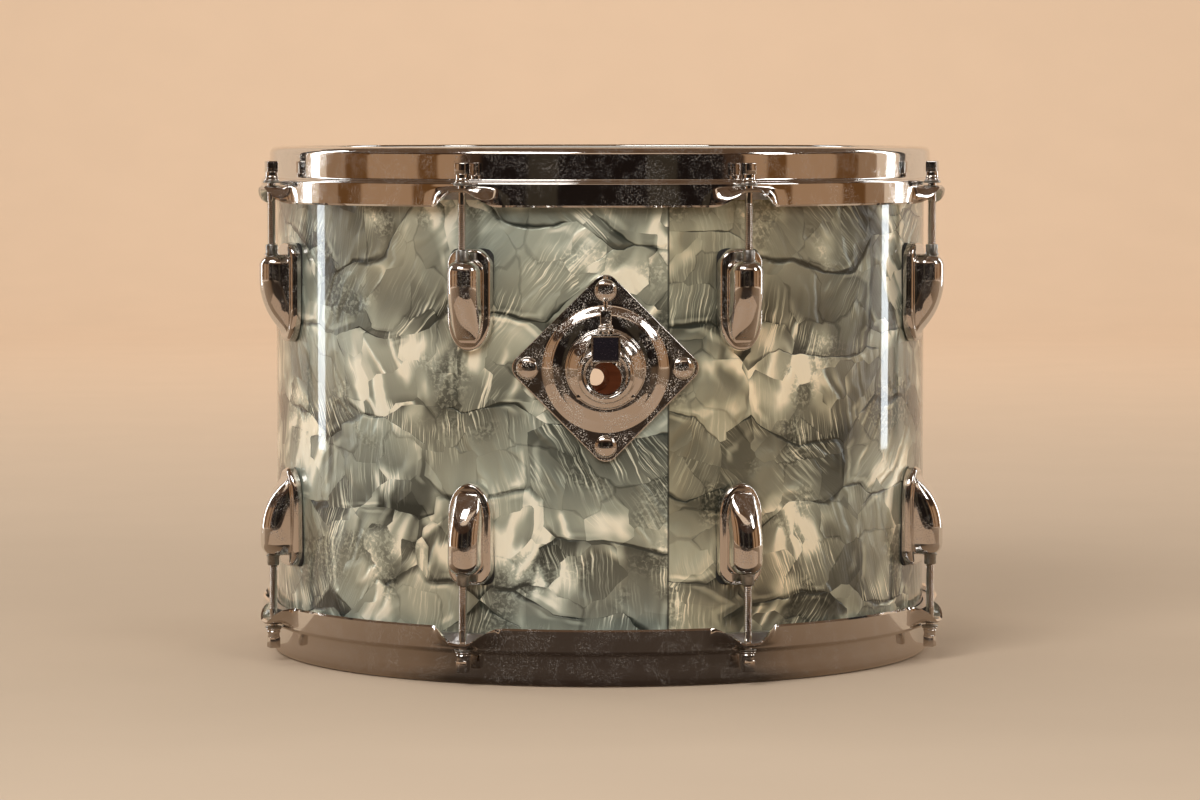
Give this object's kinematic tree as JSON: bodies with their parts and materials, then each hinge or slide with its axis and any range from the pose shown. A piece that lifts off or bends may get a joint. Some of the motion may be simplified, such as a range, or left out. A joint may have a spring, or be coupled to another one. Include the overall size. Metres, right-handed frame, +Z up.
{
  "type": "rack tom drum",
  "caption": "Pearl-wrapped rack tom drum with two film heads, pressed steel hoops, single lugs, key rods and an arm socket.",
  "frame": {"origin": "on the drum's axis, in the plane of the lower rim that the drum stands on", "axes": "+Z up along the drum's axis towards the batter head, -Y out through the arm socket, +X to the right seen from the socket side"},
  "size_m": [0.3716, 0.3768, 0.2754],
  "materials": {
    "wood": "clear lacquer over reddish plywood",
    "pearl_wrap": "gloss pearl wrap, grey-green with cream glints",
    "film": "lightly coated polyester film",
    "aluminium": "satin",
    "chrome": "bright chrome on pressed or turned steel",
    "chrome_casting": "bright chrome on a die casting",
    "zinc_steel": "zinc plate",
    "gasket_rubber": "matte black",
    "nylon": "natural nylon",
    "clamp_plastic": "hard black plastic"
  },
  "bodies": {
    "drum": {"drum_shell": "wood", "batter_ring": "wood", "resonant_ring": "wood", "pearl_wrap": "pearl_wrap", "batter_head": "film", "resonant_head": "film", "batter_head_collar": "film", "resonant_head_collar": "film", "batter_flesh_hoop": "aluminium", "resonant_flesh_hoop": "aluminium", "vent_grommet": "chrome", "mount_plate": "chrome", "mount_screws": "chrome", "lug_batter_1": "chrome_casting", "lug_batter_2": "chrome_casting", "lug_batter_3": "chrome_casting", "lug_batter_4": "chrome_casting", "lug_batter_5": "chrome_casting", "lug_batter_6": "chrome_casting", "lug_batter_7": "chrome_casting", "lug_batter_8": "chrome_casting", "lug_resonant_1": "chrome_casting", "lug_resonant_2": "chrome_casting", "lug_resonant_3": "chrome_casting", "lug_resonant_4": "chrome_casting", "lug_resonant_5": "chrome_casting", "lug_resonant_6": "chrome_casting", "lug_resonant_7": "chrome_casting", "lug_resonant_8": "chrome_casting", "mount_socket": "chrome_casting", "lug_screws": "zinc_steel", "mount_nuts": "zinc_steel", "swivel_nuts": "zinc_steel", "lug_gaskets": "gasket_rubber", "nut_sleeves": "nylon"},
    "batter_rim": {"batter_hoop": "chrome", "batter_washers": "zinc_steel"},
    "resonant_rim": {"resonant_hoop": "chrome", "resonant_washers": "zinc_steel"},
    "arm_clamp": {"clamp_block": "clamp_plastic"},
    "clamp_key": {"key_screw": "chrome"},
    "rod_batter_1": {"tension_rod_batter_1": "chrome"},
    "rod_batter_2": {"tension_rod_batter_2": "chrome"},
    "rod_batter_3": {"tension_rod_batter_3": "chrome"},
    "rod_batter_4": {"tension_rod_batter_4": "chrome"},
    "rod_batter_5": {"tension_rod_batter_5": "chrome"},
    "rod_batter_6": {"tension_rod_batter_6": "chrome"},
    "rod_batter_7": {"tension_rod_batter_7": "chrome"},
    "rod_batter_8": {"tension_rod_batter_8": "chrome"},
    "rod_resonant_1": {"tension_rod_resonant_1": "chrome"},
    "rod_resonant_2": {"tension_rod_resonant_2": "chrome"},
    "rod_resonant_3": {"tension_rod_resonant_3": "chrome"},
    "rod_resonant_4": {"tension_rod_resonant_4": "chrome"},
    "rod_resonant_5": {"tension_rod_resonant_5": "chrome"},
    "rod_resonant_6": {"tension_rod_resonant_6": "chrome"},
    "rod_resonant_7": {"tension_rod_resonant_7": "chrome"},
    "rod_resonant_8": {"tension_rod_resonant_8": "chrome"}
  },
  "joints": [
    {"name": "batter_rim_lift", "type": "slide", "parent": "drum", "child": "batter_rim", "axis": [0, 0, 1], "range_m": [0, 0.006]},
    {"name": "resonant_rim_lift", "type": "slide", "parent": "drum", "child": "resonant_rim", "axis": [0, 0, -1], "range_m": [0, 0.006]},
    {"name": "arm_clamp_press", "type": "slide", "parent": "drum", "child": "arm_clamp", "axis": [0, 0, -1], "range_m": [0, 0.0015]},
    {"name": "clamp_key_turn", "type": "hinge", "parent": "arm_clamp", "child": "clamp_key", "pos_m": [0, -0.1863, 0.1797], "axis": [0, 0, -1], "range_deg": [0, 545]},
    {"name": "rod_batter_1_turn", "type": "hinge", "parent": "batter_rim", "child": "rod_batter_1", "pos_m": [0.0729, -0.176, 0.2562], "axis": [0, 0, 1], "range_deg": [0, 2046]},
    {"name": "rod_batter_2_turn", "type": "hinge", "parent": "batter_rim", "child": "rod_batter_2", "pos_m": [0.176, -0.0729, 0.2562], "axis": [0, 0, 1], "range_deg": [0, 2046]},
    {"name": "rod_batter_3_turn", "type": "hinge", "parent": "batter_rim", "child": "rod_batter_3", "pos_m": [0.176, 0.0729, 0.2562], "axis": [0, 0, 1], "range_deg": [0, 2046]},
    {"name": "rod_batter_4_turn", "type": "hinge", "parent": "batter_rim", "child": "rod_batter_4", "pos_m": [0.0729, 0.176, 0.2562], "axis": [0, 0, 1], "range_deg": [0, 2046]},
    {"name": "rod_batter_5_turn", "type": "hinge", "parent": "batter_rim", "child": "rod_batter_5", "pos_m": [-0.0729, 0.176, 0.2562], "axis": [0, 0, 1], "range_deg": [0, 2046]},
    {"name": "rod_batter_6_turn", "type": "hinge", "parent": "batter_rim", "child": "rod_batter_6", "pos_m": [-0.176, 0.0729, 0.2562], "axis": [0, 0, 1], "range_deg": [0, 2046]},
    {"name": "rod_batter_7_turn", "type": "hinge", "parent": "batter_rim", "child": "rod_batter_7", "pos_m": [-0.176, -0.0729, 0.2562], "axis": [0, 0, 1], "range_deg": [0, 2046]},
    {"name": "rod_batter_8_turn", "type": "hinge", "parent": "batter_rim", "child": "rod_batter_8", "pos_m": [-0.0729, -0.176, 0.2562], "axis": [0, 0, 1], "range_deg": [0, 2046]},
    {"name": "rod_resonant_1_turn", "type": "hinge", "parent": "resonant_rim", "child": "rod_resonant_1", "pos_m": [0.0729, -0.176, 0.0192], "axis": [0, 0, -1], "range_deg": [0, 2046]},
    {"name": "rod_resonant_2_turn", "type": "hinge", "parent": "resonant_rim", "child": "rod_resonant_2", "pos_m": [0.176, -0.0729, 0.0192], "axis": [0, 0, -1], "range_deg": [0, 2046]},
    {"name": "rod_resonant_3_turn", "type": "hinge", "parent": "resonant_rim", "child": "rod_resonant_3", "pos_m": [0.176, 0.0729, 0.0192], "axis": [0, 0, -1], "range_deg": [0, 2046]},
    {"name": "rod_resonant_4_turn", "type": "hinge", "parent": "resonant_rim", "child": "rod_resonant_4", "pos_m": [0.0729, 0.176, 0.0192], "axis": [0, 0, -1], "range_deg": [0, 2046]},
    {"name": "rod_resonant_5_turn", "type": "hinge", "parent": "resonant_rim", "child": "rod_resonant_5", "pos_m": [-0.0729, 0.176, 0.0192], "axis": [0, 0, -1], "range_deg": [0, 2046]},
    {"name": "rod_resonant_6_turn", "type": "hinge", "parent": "resonant_rim", "child": "rod_resonant_6", "pos_m": [-0.176, 0.0729, 0.0192], "axis": [0, 0, -1], "range_deg": [0, 2046]},
    {"name": "rod_resonant_7_turn", "type": "hinge", "parent": "resonant_rim", "child": "rod_resonant_7", "pos_m": [-0.176, -0.0729, 0.0192], "axis": [0, 0, -1], "range_deg": [0, 2046]},
    {"name": "rod_resonant_8_turn", "type": "hinge", "parent": "resonant_rim", "child": "rod_resonant_8", "pos_m": [-0.0729, -0.176, 0.0192], "axis": [0, 0, -1], "range_deg": [0, 2046]}
  ],
  "couplings": [
    {"joint": "clamp_key_turn", "follows": "arm_clamp_press", "rad_per_m": 6283.2},
    {"joint": "rod_batter_1_turn", "follows": "batter_rim_lift", "rad_per_m": 5936.9},
    {"joint": "rod_batter_2_turn", "follows": "batter_rim_lift", "rad_per_m": 5936.9},
    {"joint": "rod_batter_3_turn", "follows": "batter_rim_lift", "rad_per_m": 5936.9},
    {"joint": "rod_batter_4_turn", "follows": "batter_rim_lift", "rad_per_m": 5936.9},
    {"joint": "rod_batter_5_turn", "follows": "batter_rim_lift", "rad_per_m": 5936.9},
    {"joint": "rod_batter_6_turn", "follows": "batter_rim_lift", "rad_per_m": 5936.9},
    {"joint": "rod_batter_7_turn", "follows": "batter_rim_lift", "rad_per_m": 5936.9},
    {"joint": "rod_batter_8_turn", "follows": "batter_rim_lift", "rad_per_m": 5936.9},
    {"joint": "rod_resonant_1_turn", "follows": "resonant_rim_lift", "rad_per_m": 5936.9},
    {"joint": "rod_resonant_2_turn", "follows": "resonant_rim_lift", "rad_per_m": 5936.9},
    {"joint": "rod_resonant_3_turn", "follows": "resonant_rim_lift", "rad_per_m": 5936.9},
    {"joint": "rod_resonant_4_turn", "follows": "resonant_rim_lift", "rad_per_m": 5936.9},
    {"joint": "rod_resonant_5_turn", "follows": "resonant_rim_lift", "rad_per_m": 5936.9},
    {"joint": "rod_resonant_6_turn", "follows": "resonant_rim_lift", "rad_per_m": 5936.9},
    {"joint": "rod_resonant_7_turn", "follows": "resonant_rim_lift", "rad_per_m": 5936.9},
    {"joint": "rod_resonant_8_turn", "follows": "resonant_rim_lift", "rad_per_m": 5936.9}
  ]
}
